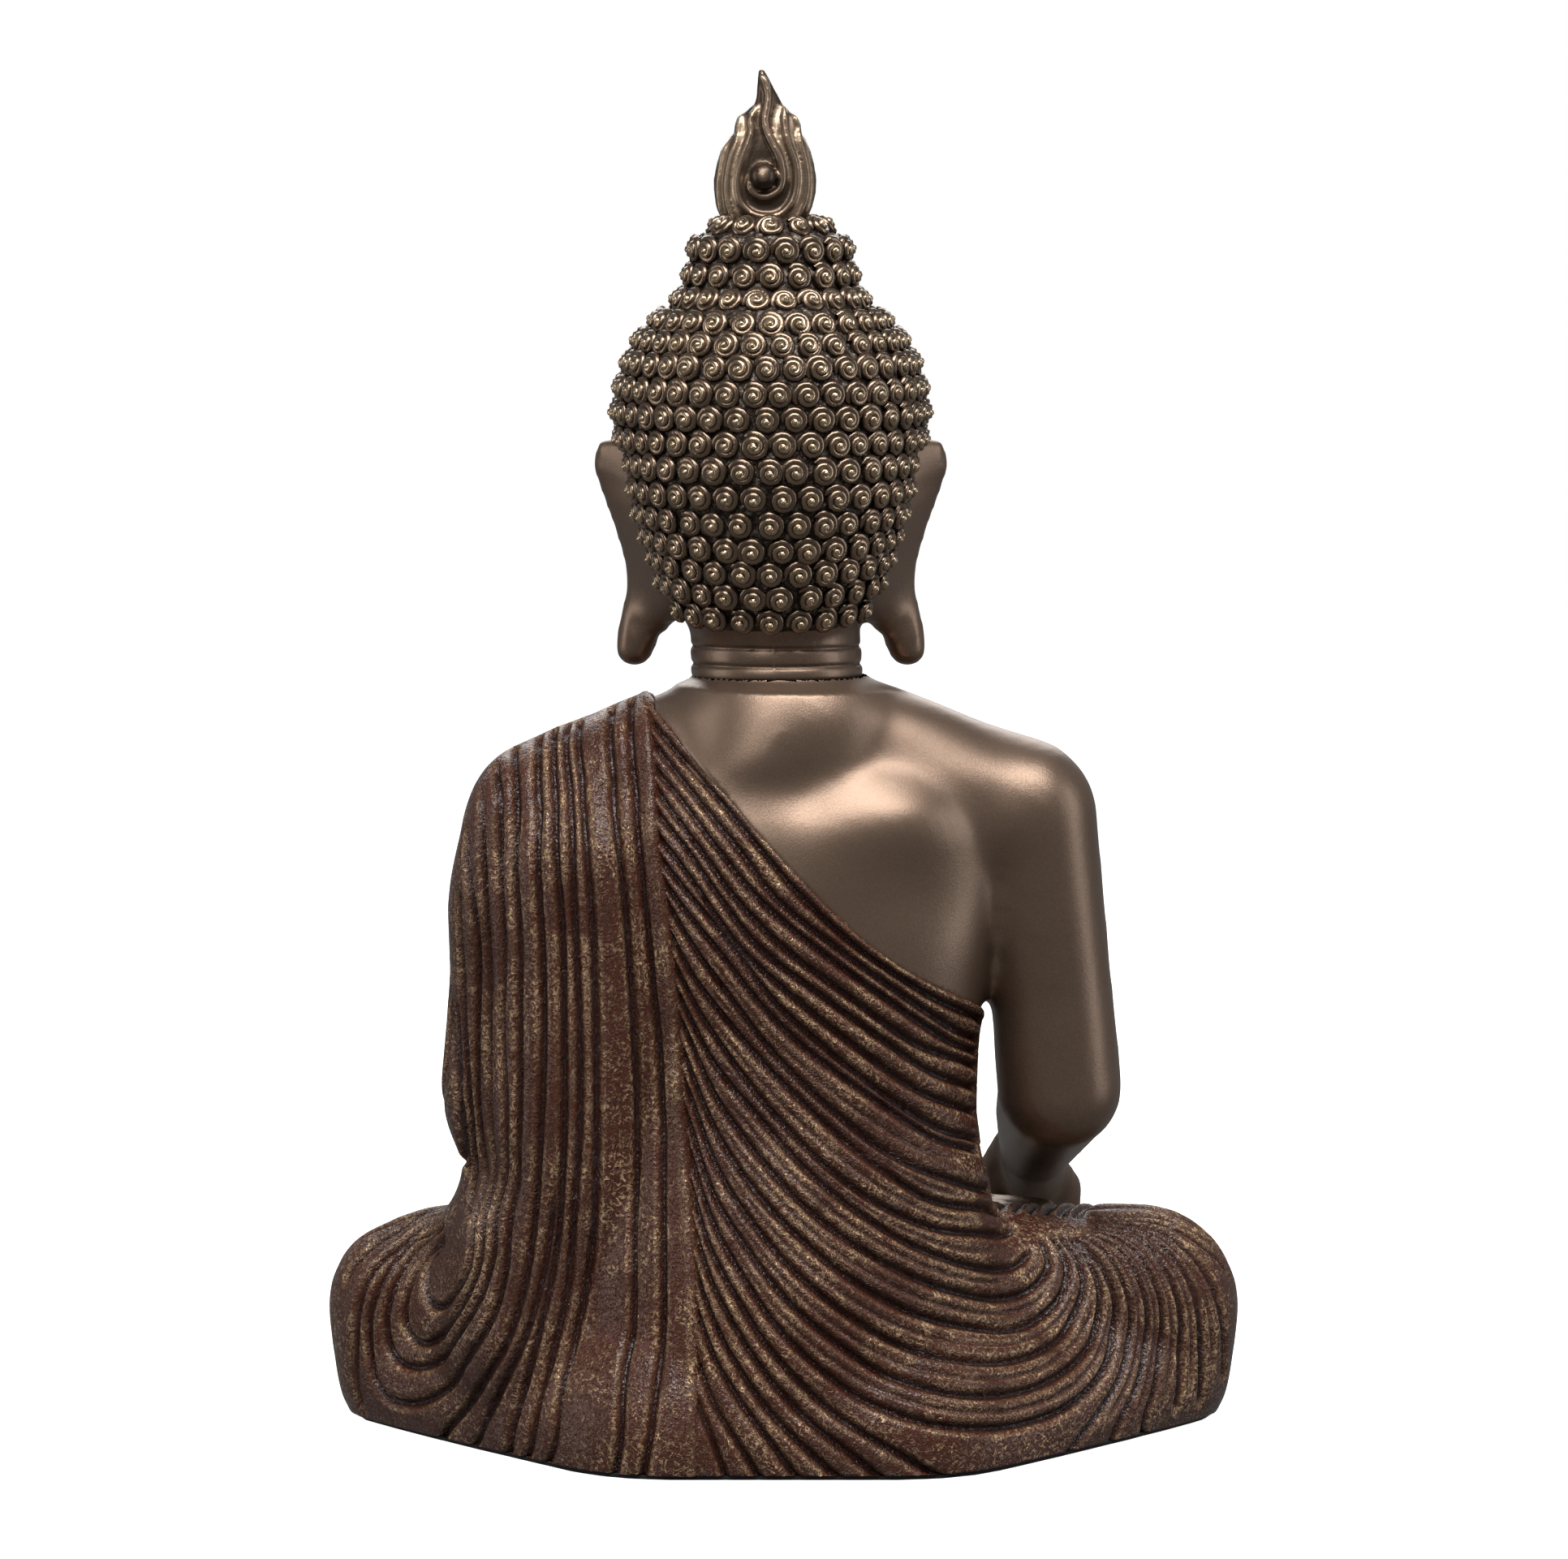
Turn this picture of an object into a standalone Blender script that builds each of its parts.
"""Seated Buddha statue in bronze-finished resin, as the separate castings and fittings it is built from.

Metres, +Z up. The figure faces -Y, its right hand is on the -X side, and the origin is the middle of the
underside. The figure's masses are rounded limbs and ellipsoids, fused by a voxel remesh into castings.
"""

import math

import bmesh
import bpy
from mathutils import Vector

MM = 0.001

# Overall size: the flame's tip is this high, and everything below is in millimetres at that size.
STATUE_HEIGHT = 280.0
FELT_THICKNESS = 0.8
GAP = 0.3
WALL = 6.0

# Where the castings meet
NECK_SEAM_Z = 155.4
SHOULDER_SEAM_X = -44.0
SHOULDER_SEAM_LOWEST_Z = 92.0
LAP_CLEARANCE_Z = 66.0

# Head and neck
HEAD_X = 2.7
SKULL_CENTRE = (HEAD_X, 6, 211)
SKULL_RADII = (33, 35.5, 29.8)
CROWN_CENTRE = (HEAD_X, 6, 233.5)
CROWN_RADII = (20.2, 20.2, 17.5)
NECK_TOP = (2.1, 9, 174)
NECK_FOOT = (1.3, 10.5, 154)
NECK_RADIUS = 17.4
NECK_RING_Z = (159.2, 163.0)
HAIR_TOP_Z = 249.0
# Ear, from its root over the top and down to the lobe: how far out, y, z, radius
EAR_RIM = (
    (25.5, 0, 196, 3.4), (29.5, 3, 202, 3.4), (32.2, 6, 200.5, 3.4), (31.2, 6.5, 191, 3.2), (27.6, 5, 180, 3.4),
    (26.2, 3.5, 172, 3.4), (26.8, 3, 165, 4.0), (27.2, 3, 162.5, 3.9),
)

# Arms
SHOULDER_Y, SHOULDER_Z = 12, 129
RIGHT_SHOULDER = (-49.3, SHOULDER_Y, SHOULDER_Z)
RIGHT_ELBOW = (-55.9, 7, 71.5)
RIGHT_WRIST = (-54, -35, 53)
LEFT_SHOULDER = (48.7, SHOULDER_Y, SHOULDER_Z)
LEFT_ELBOW = (55.6, 8, 72)
LEFT_WRIST = (28, -28, 54)

# Trunk: z, middle y, half width, half depth
TRUNK = (
    (16, 17, 48, 36), (38, 16.5, 45, 34), (54, 15.5, 41, 31), (68, 14.5, 39.4, 28), (84, 14, 40, 26.8),
    (100, 14.5, 42.4, 27.2), (115, 14.5, 44.8, 27.4), (128, 14, 45.5, 26), (138, 13, 40, 22.5), (146, 12, 28, 18),
)

# Legs
KNEE_X, KNEE_Y, KNEE_Z = 74.6, -12, 23
KNEE_RADIUS = 20.5
HIP = (22.5, 25, 4)
HIP_RADIUS = 29.7
ANKLE = (-12, -38, 17)

# Fittings
PLATE_CENTRE_Y = -3.0
PLATE_RADII = (66, 36)
PLATE_THICKNESS = 2.5
NECK_DOWEL_RADIUS, NECK_DOWEL_Z = 3.0, (140, 172)
FLAME_PIN_RADIUS, FLAME_PIN_Z = 1.25, (236, 259)
ARM_DOWEL_RADIUS, ARM_DOWEL_X = 2.0, (-58, -34)
ARM_DOWEL_Y, ARM_DOWEL_Z = 12, 124
WRIST_PIN_RADIUS, WRIST_PIN_X = 1.25, (17, 41)
WRIST_PIN_Y, WRIST_PIN_Z = -27, 54.5

# Flame
FLAME_X, FLAME_Y = 3.7, 5.0
FLAME_THICKNESS = 8.0
FLAME_STEM_RADIUS = 3.2
# Half widths of the flame up its height
FLAME_OUTLINE = (
    (249, 8.4), (252.6, 9.8), (256, 10.4), (260, 10.3), (264.9, 9.2), (267.4, 7.7), (270, 6.4), (272.3, 4.4),
    (275, 2.6), (277.4, 1.6), (STATUE_HEIGHT, 0.4),
)

# Share of the fused skin's faces that each casting keeps
BODY_FACES_KEPT = 0.085
CAVITY_FACES_KEPT = 0.15
HEAD_FACES_KEPT = 0.07
ARM_FACES_KEPT = 0.08
HAND_FACES_KEPT = 0.11

BRONZE = ("bronze", (0.17, 0.13, 0.10), 0.38, 0.8)
ROBE = ("robe", (0.11, 0.045, 0.03), 0.5, 0.3)
STEEL = ("steel", (0.55, 0.56, 0.58), 0.3, 1.0)
BOARD = ("board", (0.05, 0.045, 0.04), 0.8, 0.0)
FELT = ("felt", (0.012, 0.012, 0.013), 0.95, 0.0)


def mirrored(point):
    x, y, z = point
    return (-x, y, z)


# Making solids ---------------------------------------------------------------------------------


def clear_scene():
    for obj in list(bpy.data.objects):
        bpy.data.objects.remove(obj)


def collection(name, hidden=False):
    made = bpy.data.collections.new(name)
    bpy.context.scene.collection.children.link(made)
    made.hide_render = hidden
    return made


def material(look):
    name, colour, roughness, metallic = look
    found = bpy.data.materials.get(name)
    if found:
        return found
    made = bpy.data.materials.new(name)
    made.use_nodes = True
    shader = made.node_tree.nodes["Principled BSDF"]
    shader.inputs["Base Color"].default_value = (*colour, 1)
    shader.inputs["Roughness"].default_value = roughness
    shader.inputs["Metallic"].default_value = metallic
    return made


def add_limb(bm, start, end, start_radius, end_radius, segments=32):
    """A tapered limb with round ends: the hull of a ball at each end."""
    ends = bmesh.new()
    for centre, radius in ((start, start_radius), (end, end_radius)):
        ball = bmesh.ops.create_uvsphere(ends, u_segments=segments, v_segments=segments // 2, radius=radius)
        bmesh.ops.translate(ends, verts=ball["verts"], vec=Vector(centre))
    hull = bmesh.ops.convex_hull(ends, input=ends.verts)
    inside = [v for v in ends.verts if v not in hull["geom"]]
    bmesh.ops.delete(ends, geom=inside, context="VERTS")
    append(bm, ends)


def add_blob(bm, centre, radii, segments=32):
    """An ellipsoid."""
    blob = bmesh.new()
    bmesh.ops.create_uvsphere(blob, u_segments=segments, v_segments=segments // 2, radius=1)
    bmesh.ops.scale(blob, verts=blob.verts, vec=Vector(radii))
    bmesh.ops.translate(blob, verts=blob.verts, vec=Vector(centre))
    append(bm, blob)


def add_loft(bm, sections, segments=48):
    """A closed body through upright oval sections, each z, middle y, half width and half depth."""
    loft = bmesh.new()
    turns = [2 * math.pi * i / segments for i in range(segments)]
    rings = []
    for z, y, half_width, half_depth in sections:
        ring = [(half_width * math.cos(a), y + half_depth * math.sin(a), z) for a in turns]
        rings.append([loft.verts.new(point) for point in ring])
    for lower, upper in zip(rings, rings[1:]):
        for i in range(segments):
            j = (i + 1) % segments
            loft.faces.new((lower[i], lower[j], upper[j], upper[i]))
    loft.faces.new(reversed(rings[0]))
    loft.faces.new(rings[-1])
    append(bm, loft)


def append(bm, other):
    """Adds another bmesh's geometry to bm, and frees it."""
    step = bpy.data.meshes.new("step")
    other.to_mesh(step)
    other.free()
    bm.from_mesh(step)
    bpy.data.meshes.remove(step)


def add_object(name, bm, where, look=None):
    """An object from a bmesh whose coordinates are millimetres."""
    bmesh.ops.scale(bm, verts=bm.verts, vec=Vector((MM, MM, MM)))
    mesh = bpy.data.meshes.new(name)
    bm.to_mesh(mesh)
    bm.free()
    obj = bpy.data.objects.new(name, mesh)
    where.objects.link(obj)
    if look:
        mesh.materials.append(material(look))
    return obj


def add_remesh(obj, voxel, smoothing, kept):
    """Fuses overlapping masses into one skin, softens its creases, and thins it to a share of its faces."""
    remesh = obj.modifiers.new("Fuse", "REMESH")
    remesh.mode = "VOXEL"
    remesh.voxel_size = voxel * MM
    smooth = obj.modifiers.new("Soften", "SMOOTH")
    smooth.factor = 0.5
    smooth.iterations = smoothing
    thin = obj.modifiers.new("Thin", "DECIMATE")
    thin.ratio = kept


def add_boolean(obj, cutter, operation="DIFFERENCE"):
    made = obj.modifiers.new(f"{operation.title()} {cutter.name}", "BOOLEAN")
    made.operation = operation
    made.solver = "EXACT"
    made.object = cutter


def add_box_cutter(name, low, high, where):
    bm = bmesh.new()
    bmesh.ops.create_cube(bm, size=1)
    low, high = Vector(low), Vector(high)
    bmesh.ops.scale(bm, verts=bm.verts, vec=high - low)
    bmesh.ops.translate(bm, verts=bm.verts, vec=(low + high) / 2)
    return as_cutter(add_object(name, bm, where))


def add_rod(name, centre, radius, length, axis, where, look=None, segments=20):
    """A round rod of that length, centred on a point, along X, Y or Z."""
    bm = bmesh.new()
    bmesh.ops.create_cone(bm, cap_ends=True, segments=segments, radius1=radius, radius2=radius, depth=length)
    obj = add_object(name, bm, where, look)
    obj.location = Vector(centre) * MM
    if axis == "X":
        obj.rotation_euler = (0, math.radians(90), 0)
    elif axis == "Y":
        obj.rotation_euler = (math.radians(90), 0, 0)
    return obj


def add_oval(name, centre, radii, thickness, where, look=None, segments=64):
    """A flat oval plate."""
    bm = bmesh.new()
    bmesh.ops.create_cone(bm, cap_ends=True, segments=segments, radius1=1, radius2=1, depth=thickness)
    bmesh.ops.scale(bm, verts=bm.verts, vec=Vector((*radii, 1)))
    bmesh.ops.translate(bm, verts=bm.verts, vec=Vector(centre))
    return add_object(name, bm, where, look)


def as_cutter(obj):
    obj.hide_render = True
    obj.display_type = "WIRE"
    return obj


# Masses of the figure --------------------------------------------------------------------------


def add_torso(bm, inset=0):
    """Trunk, shoulders and the base of the neck."""
    sections = [(z, y, half_width - inset, half_depth - inset) for z, y, half_width, half_depth in TRUNK]
    add_loft(bm, sections)
    add_limb(bm, (-45, SHOULDER_Y, SHOULDER_Z), LEFT_SHOULDER, 15.6 - inset, 16.4 - inset)
    for side in (1, -1):
        add_limb(bm, (0, 12, 140.2), (side * 42, SHOULDER_Y, 131.6), 21.5 - inset, 15 - inset)
    if not inset:
        add_limb(bm, NECK_FOOT, (0, 12, 144), 18.6, 22)


def add_mantle(bm, inset=0):
    """The robe over the left arm, which hangs to the thigh behind the elbow."""
    add_limb(bm, LEFT_SHOULDER, LEFT_ELBOW, 16.6 - inset, 14.4 - inset)
    add_limb(bm, LEFT_ELBOW, (54, 8, 46), 14.2 - inset, 14 - inset)
    if not inset:
        add_limb(bm, LEFT_ELBOW, LEFT_WRIST, 13, 9.5)
    add_limb(bm, (38, 15, 118), (40, 15, 52), 22 - inset, 22 - inset)


def add_legs(bm, inset=0):
    """Crossed thighs and shins, and the robe's skirt down to the ground."""
    for side in (1, -1):
        knee = (side * KNEE_X, KNEE_Y, KNEE_Z)
        knee_foot = (side * (KNEE_X - 1), KNEE_Y, 11)
        hip = (side * HIP[0], HIP[1], HIP[2])
        ankle = (side * ANKLE[0], ANKLE[1], ANKLE[2])
        add_limb(bm, hip, knee_foot, HIP_RADIUS - inset, KNEE_RADIUS - 0.5 - inset)
        add_limb(bm, (side * 30, 12, 26), knee, 22 - inset, KNEE_RADIUS - inset)
        add_limb(bm, knee, knee_foot, KNEE_RADIUS - inset, KNEE_RADIUS - 0.5 - inset)
        add_limb(bm, (side * (KNEE_X - 4), KNEE_Y - 7, 18), ankle, 18.5 - inset, 16.5 - inset)
        add_limb(bm, knee_foot, (side * 22, -35, 7), KNEE_RADIUS - 0.5 - inset, 18 - inset)
    add_limb(bm, (-HIP[0], HIP[1], HIP[2]), HIP, HIP_RADIUS - inset, HIP_RADIUS - inset)
    add_limb(bm, (-22, -35, 7), (22, -35, 7), 18 - inset, 18 - inset)
    add_limb(bm, (-22, -8, 14), (22, -8, 14), 26 - inset, 26 - inset)
    add_blob(bm, (0, -14, 24), (50 - inset, 30 - inset, 19 - inset))


def add_foot(bm, heel, ball, toes_to, sole_up=1.5):
    """A foot lying on the opposite thigh with its sole up: heel, instep and five toes."""
    heel, ball, toes_to = Vector(heel), Vector(ball), Vector(toes_to)
    add_limb(bm, heel, ball, 7, 6.5)
    along = (toes_to - ball).normalized()
    across = along.cross(Vector((0, 0, 1))).normalized()
    add_limb(bm, ball - across * 6, ball + across * 6, 5.5, 5.5)
    for toe in range(5):
        offset = across * (toe - 2) * 4.1
        start = ball + offset
        reach = (toes_to - ball).length * (1.05 - 0.09 * toe)
        radius = 3.0 if toe == 0 else 2.4
        add_limb(bm, start, start + along * reach + Vector((0, 0, sole_up)), 3.0, radius, segments=16)


def add_fingers(bm, palm, knuckles, along, across, lengths, radius, droop):
    """Four fingers side by side from the knuckles, each a limb of two bones that bends by droop."""
    for finger, length in enumerate(lengths):
        root = knuckles + across * (finger - 1.5) * radius * 1.9
        middle = root + along * length * 0.5
        tip = middle + (along + droop).normalized() * length * 0.5
        add_limb(bm, palm + (root - palm) * 0.5, root, radius * 1.25, radius * 1.1, segments=16)
        add_limb(bm, root, middle, radius * 1.1, radius, segments=16)
        add_limb(bm, middle, tip, radius, radius * 0.8, segments=16)


def add_right_arm(bm):
    """Bare right arm: the hand lies over the shin with its fingers towards the ground."""
    add_limb(bm, (-38, SHOULDER_Y, SHOULDER_Z), RIGHT_SHOULDER, 15.5, 14.6)
    add_limb(bm, RIGHT_SHOULDER, RIGHT_ELBOW, 14.6, 12.6)
    add_limb(bm, RIGHT_ELBOW, RIGHT_WRIST, 12.4, 7.6)
    knuckles = Vector((-54, -48, 42))
    wrist = Vector(RIGHT_WRIST)
    add_limb(bm, wrist, knuckles, 7.2, 6.0)
    add_limb(bm, knuckles + Vector((-5, 0, 0)), knuckles + Vector((5, 0, 0)), 5, 5)
    down = Vector((0, -0.25, -1)).normalized()
    add_fingers(bm, wrist, knuckles, down, Vector((-1, 0, 0)), (26, 29, 28, 23), 2.7, Vector((0, 0.1, -0.3)))
    add_limb(bm, wrist + Vector((5, -6, 0)), wrist + Vector((11, -16, -13)), 3.6, 2.8, segments=16)


def add_left_hand(bm):
    """Left hand, palm up in the lap, with its wrist in the sleeve."""
    wrist = Vector(LEFT_WRIST)
    palm = Vector((7, -30, 54))
    add_limb(bm, wrist + Vector((6, 3, 1)), palm, 6.6, 6.2)
    knuckles = Vector((-4, -31, 53.5))
    add_limb(bm, knuckles + Vector((0, -6, 0)), knuckles + Vector((0, 6, 0)), 4.8, 4.8)
    add_fingers(bm, palm, knuckles, Vector((-1, 0, 0)), Vector((0, -1, 0)), (24, 27, 26, 21), 2.7, Vector((0, 0, 0.25)))
    add_limb(bm, palm + Vector((0, 5, 2)), palm + Vector((-14, 8, 7)), 3.4, 2.6, segments=16)


def add_head(bm):
    """Skull with its rounded crown, face, long ears and neck. The hair is a plain volume."""
    add_blob(bm, SKULL_CENTRE, SKULL_RADII)
    add_blob(bm, CROWN_CENTRE, CROWN_RADII)
    add_blob(bm, (HEAD_X, -2, 193), (26, 28, 29))
    add_limb(bm, (HEAD_X, 12, 200), (HEAD_X, 12.5, 181), 28, 19.5)
    add_limb(bm, NECK_TOP, NECK_FOOT, NECK_RADIUS, NECK_RADIUS)
    add_limb(bm, (HEAD_X, -29, 197), (HEAD_X, -31.5, 188), 2.2, 3.6, segments=16)
    for side in (1, -1):
        for (x, y, z, radius), (next_x, next_y, next_z, next_radius) in zip(EAR_RIM, EAR_RIM[1:]):
            start, end = (HEAD_X + side * x, y, z), (HEAD_X + side * next_x, next_y, next_z)
            add_limb(bm, start, end, radius, next_radius, segments=16)


# The pieces ------------------------------------------------------------------------------------


def add_body(bm):
    add_torso(bm)
    add_mantle(bm)
    add_legs(bm)
    add_foot(bm, (-6, -27, 40), (-36, -14, 42), (-50, -6, 41.5))
    add_foot(bm, (14, -24, 41), (46, -14, 43), (60, -7, 43))


def build_body(parts, cutters):
    """The hollow main casting, the felt under it, and the board that closes it."""
    bm = bmesh.new()
    add_body(bm)
    body = add_object("body_casting", bm, parts, ROBE)
    add_remesh(body, 2.2, 4, BODY_FACES_KEPT)

    whole = as_cutter(body.copy())
    whole.name = "whole_body"
    cutters.objects.link(whole)

    bm = bmesh.new()
    add_torso(bm, inset=WALL)
    add_mantle(bm, inset=WALL + 1)
    add_legs(bm, inset=WALL)
    cavity = as_cutter(add_object("cavity", bm, cutters))
    add_remesh(cavity, 4, 6, CAVITY_FACES_KEPT)
    add_boolean(cavity, add_box_cutter("cavity_ceiling", (-90, -60, 128), (90, 60, 180), cutters))
    add_boolean(cavity, add_box_cutter("cavity_floor", (-120, -80, -40), (120, 80, 9), cutters))
    solid_shoulder = add_box_cutter("solid_shoulder", (-90, -60, 84), (SHOULDER_SEAM_X + 12, 60, 180), cutters)
    add_boolean(cavity, solid_shoulder)

    far = 120
    floor_z = FELT_THICKNESS + GAP
    rebate_top = floor_z + PLATE_THICKNESS + GAP
    add_boolean(body, add_box_cutter("under_body", (-far, -far, -40), (far, far, floor_z), cutters))
    add_boolean(body, cavity)
    mouth_radii = (PLATE_RADII[0] - 5, PLATE_RADII[1] - 5)
    mouth = add_oval("cavity_mouth", (0, PLATE_CENTRE_Y, 8), mouth_radii, 20, cutters)
    add_boolean(body, as_cutter(mouth))
    rebate = add_oval("plate_rebate", (0, PLATE_CENTRE_Y, rebate_top - 10), PLATE_RADII, 20, cutters)
    add_boolean(body, as_cutter(rebate))
    add_boolean(body, add_box_cutter("above_neck_seam", (-30, -30, NECK_SEAM_Z - GAP), (30, 50, 200), cutters))
    seam_x = SHOULDER_SEAM_X + GAP / 2
    shoulder = add_box_cutter("right_of_seam", (-90, -60, SHOULDER_SEAM_LOWEST_Z), (seam_x, 60, 180), cutters)
    add_boolean(body, shoulder)

    plate_radii = (PLATE_RADII[0] - GAP, PLATE_RADII[1] - GAP)
    plate_z = floor_z + PLATE_THICKNESS / 2
    add_oval("base_board", (0, PLATE_CENTRE_Y, plate_z), plate_radii, PLATE_THICKNESS, parts, BOARD)

    bm = bmesh.new()
    bmesh.ops.create_cube(bm, size=1)
    bmesh.ops.scale(bm, verts=bm.verts, vec=Vector((2 * far, 2 * far, FELT_THICKNESS)))
    bmesh.ops.translate(bm, verts=bm.verts, vec=Vector((0, 0, FELT_THICKNESS / 2)))
    felt = add_object("base_felt", bm, parts, FELT)
    add_boolean(felt, whole, "INTERSECT")
    return body


def build_head(parts, cutters):
    bm = bmesh.new()
    add_head(bm)
    head = add_object("head_casting", bm, parts, BRONZE)
    add_remesh(head, 1.5, 3, HEAD_FACES_KEPT)
    add_boolean(head, add_box_cutter("below_neck_seam", (-40, -40, 100), (40, 60, NECK_SEAM_Z), cutters))
    for number, ring_z in enumerate(NECK_RING_Z):
        bpy.ops.mesh.primitive_torus_add(
            major_radius=(NECK_RADIUS + 0.6) * MM, minor_radius=1.0 * MM, major_segments=48, minor_segments=6,
            location=Vector((NECK_FOOT[0] + 0.1, NECK_FOOT[1], ring_z)) * MM,
        )
        ring = bpy.context.object
        ring.name = f"neck_ring_groove_{number + 1}"
        for holder in ring.users_collection:
            holder.objects.unlink(ring)
        cutters.objects.link(ring)
        add_boolean(head, as_cutter(ring))
    return head


def build_lap_clearance(cutters):
    """The body's outside below the waist, grown by the gap, which trims whatever rests on the lap."""
    bm = bmesh.new()
    add_body(bm)
    lap = as_cutter(add_object("lap_clearance", bm, cutters))
    add_remesh(lap, 2.2, 4, BODY_FACES_KEPT)
    grow = lap.modifiers.new("Grow", "DISPLACE")
    grow.strength = GAP * MM
    grow.mid_level = 0
    add_boolean(lap, add_box_cutter("above_lap", (-90, -80, LAP_CLEARANCE_Z), (90, 80, 200), cutters))
    return lap


def build_right_arm(parts, cutters, lap):
    bm = bmesh.new()
    add_right_arm(bm)
    arm = add_object("right_arm_casting", bm, parts, BRONZE)
    add_remesh(arm, 1.3, 3, ARM_FACES_KEPT)
    seam_x = SHOULDER_SEAM_X - GAP / 2
    add_boolean(arm, add_box_cutter("left_of_seam", (seam_x, -60, 90), (40, 60, 180), cutters))
    add_boolean(arm, lap)
    return arm


def build_left_hand(parts, cutters, lap):
    bm = bmesh.new()
    add_left_hand(bm)
    hand = add_object("left_hand_casting", bm, parts, BRONZE)
    add_remesh(hand, 1.0, 3, HAND_FACES_KEPT)
    add_boolean(hand, lap)
    return hand


def build_flame(parts):
    """A flat flame: one oval section at each height, on a round stem that goes into the crown."""
    widest = max(half_width for _, half_width in FLAME_OUTLINE)
    sections = [(FLAME_OUTLINE[0][0] - 3.0, FLAME_STEM_RADIUS, FLAME_STEM_RADIUS)]
    for z, half_width in FLAME_OUTLINE:
        sections.append((z, half_width, FLAME_THICKNESS / 2 * (half_width / widest) ** 0.6))
    bm = bmesh.new()
    around = 20
    rings = []
    for z, half_width, half_depth in sections:
        turns = [2 * math.pi * i / around for i in range(around)]
        ring = [(FLAME_X + half_width * math.cos(a), FLAME_Y + half_depth * math.sin(a), z) for a in turns]
        rings.append([bm.verts.new(point) for point in ring])
    for lower, upper in zip(rings, rings[1:]):
        for i in range(around):
            j = (i + 1) % around
            bm.faces.new((lower[i], lower[j], upper[j], upper[i]))
    bm.faces.new(reversed(rings[0]))
    bm.faces.new(rings[-1])
    return add_object("flame_finial", bm, parts, BRONZE)


def add_pin(name, ends, across, radius, axis, joined, parts, cutters):
    """A steel pin from one end to the other along an axis, and a socket for it in each of the castings it joins."""
    middle, length = (ends[0] + ends[1]) / 2, ends[1] - ends[0]
    centre = (middle, *across) if axis == "X" else (*across, middle)
    add_rod(name, centre, radius, length, axis, parts, STEEL)
    socket = as_cutter(add_rod(f"{name}_socket", centre, radius + GAP, length + 2 * GAP, axis, cutters))
    for casting in joined:
        add_boolean(casting, socket)


def main():
    clear_scene()
    parts = collection("buddha_statue")
    cutters = collection("cutters", hidden=True)
    body = build_body(parts, cutters)
    head = build_head(parts, cutters)
    lap = build_lap_clearance(cutters)
    arm = build_right_arm(parts, cutters, lap)
    hand = build_left_hand(parts, cutters, lap)
    flame = build_flame(parts)

    # The flame stands in a recess in the crown
    stem = as_cutter(flame.copy())
    stem.name = "flame_recess"
    stem.modifiers.new("Grow", "DISPLACE").strength = GAP * MM
    stem.modifiers["Grow"].mid_level = 0
    cutters.objects.link(stem)
    add_boolean(head, stem)

    neck_axis, flame_axis = (NECK_FOOT[0], NECK_FOOT[1]), (FLAME_X, FLAME_Y)
    arm_axis, wrist_axis = (ARM_DOWEL_Y, ARM_DOWEL_Z), (WRIST_PIN_Y, WRIST_PIN_Z)
    add_pin("neck_dowel", NECK_DOWEL_Z, neck_axis, NECK_DOWEL_RADIUS, "Z", (body, head), parts, cutters)
    add_pin("flame_pin", FLAME_PIN_Z, flame_axis, FLAME_PIN_RADIUS, "Z", (head, flame), parts, cutters)
    add_pin("shoulder_dowel", ARM_DOWEL_X, arm_axis, ARM_DOWEL_RADIUS, "X", (body, arm), parts, cutters)
    add_pin("wrist_pin", WRIST_PIN_X, wrist_axis, WRIST_PIN_RADIUS, "X", (body, hand), parts, cutters)


main()
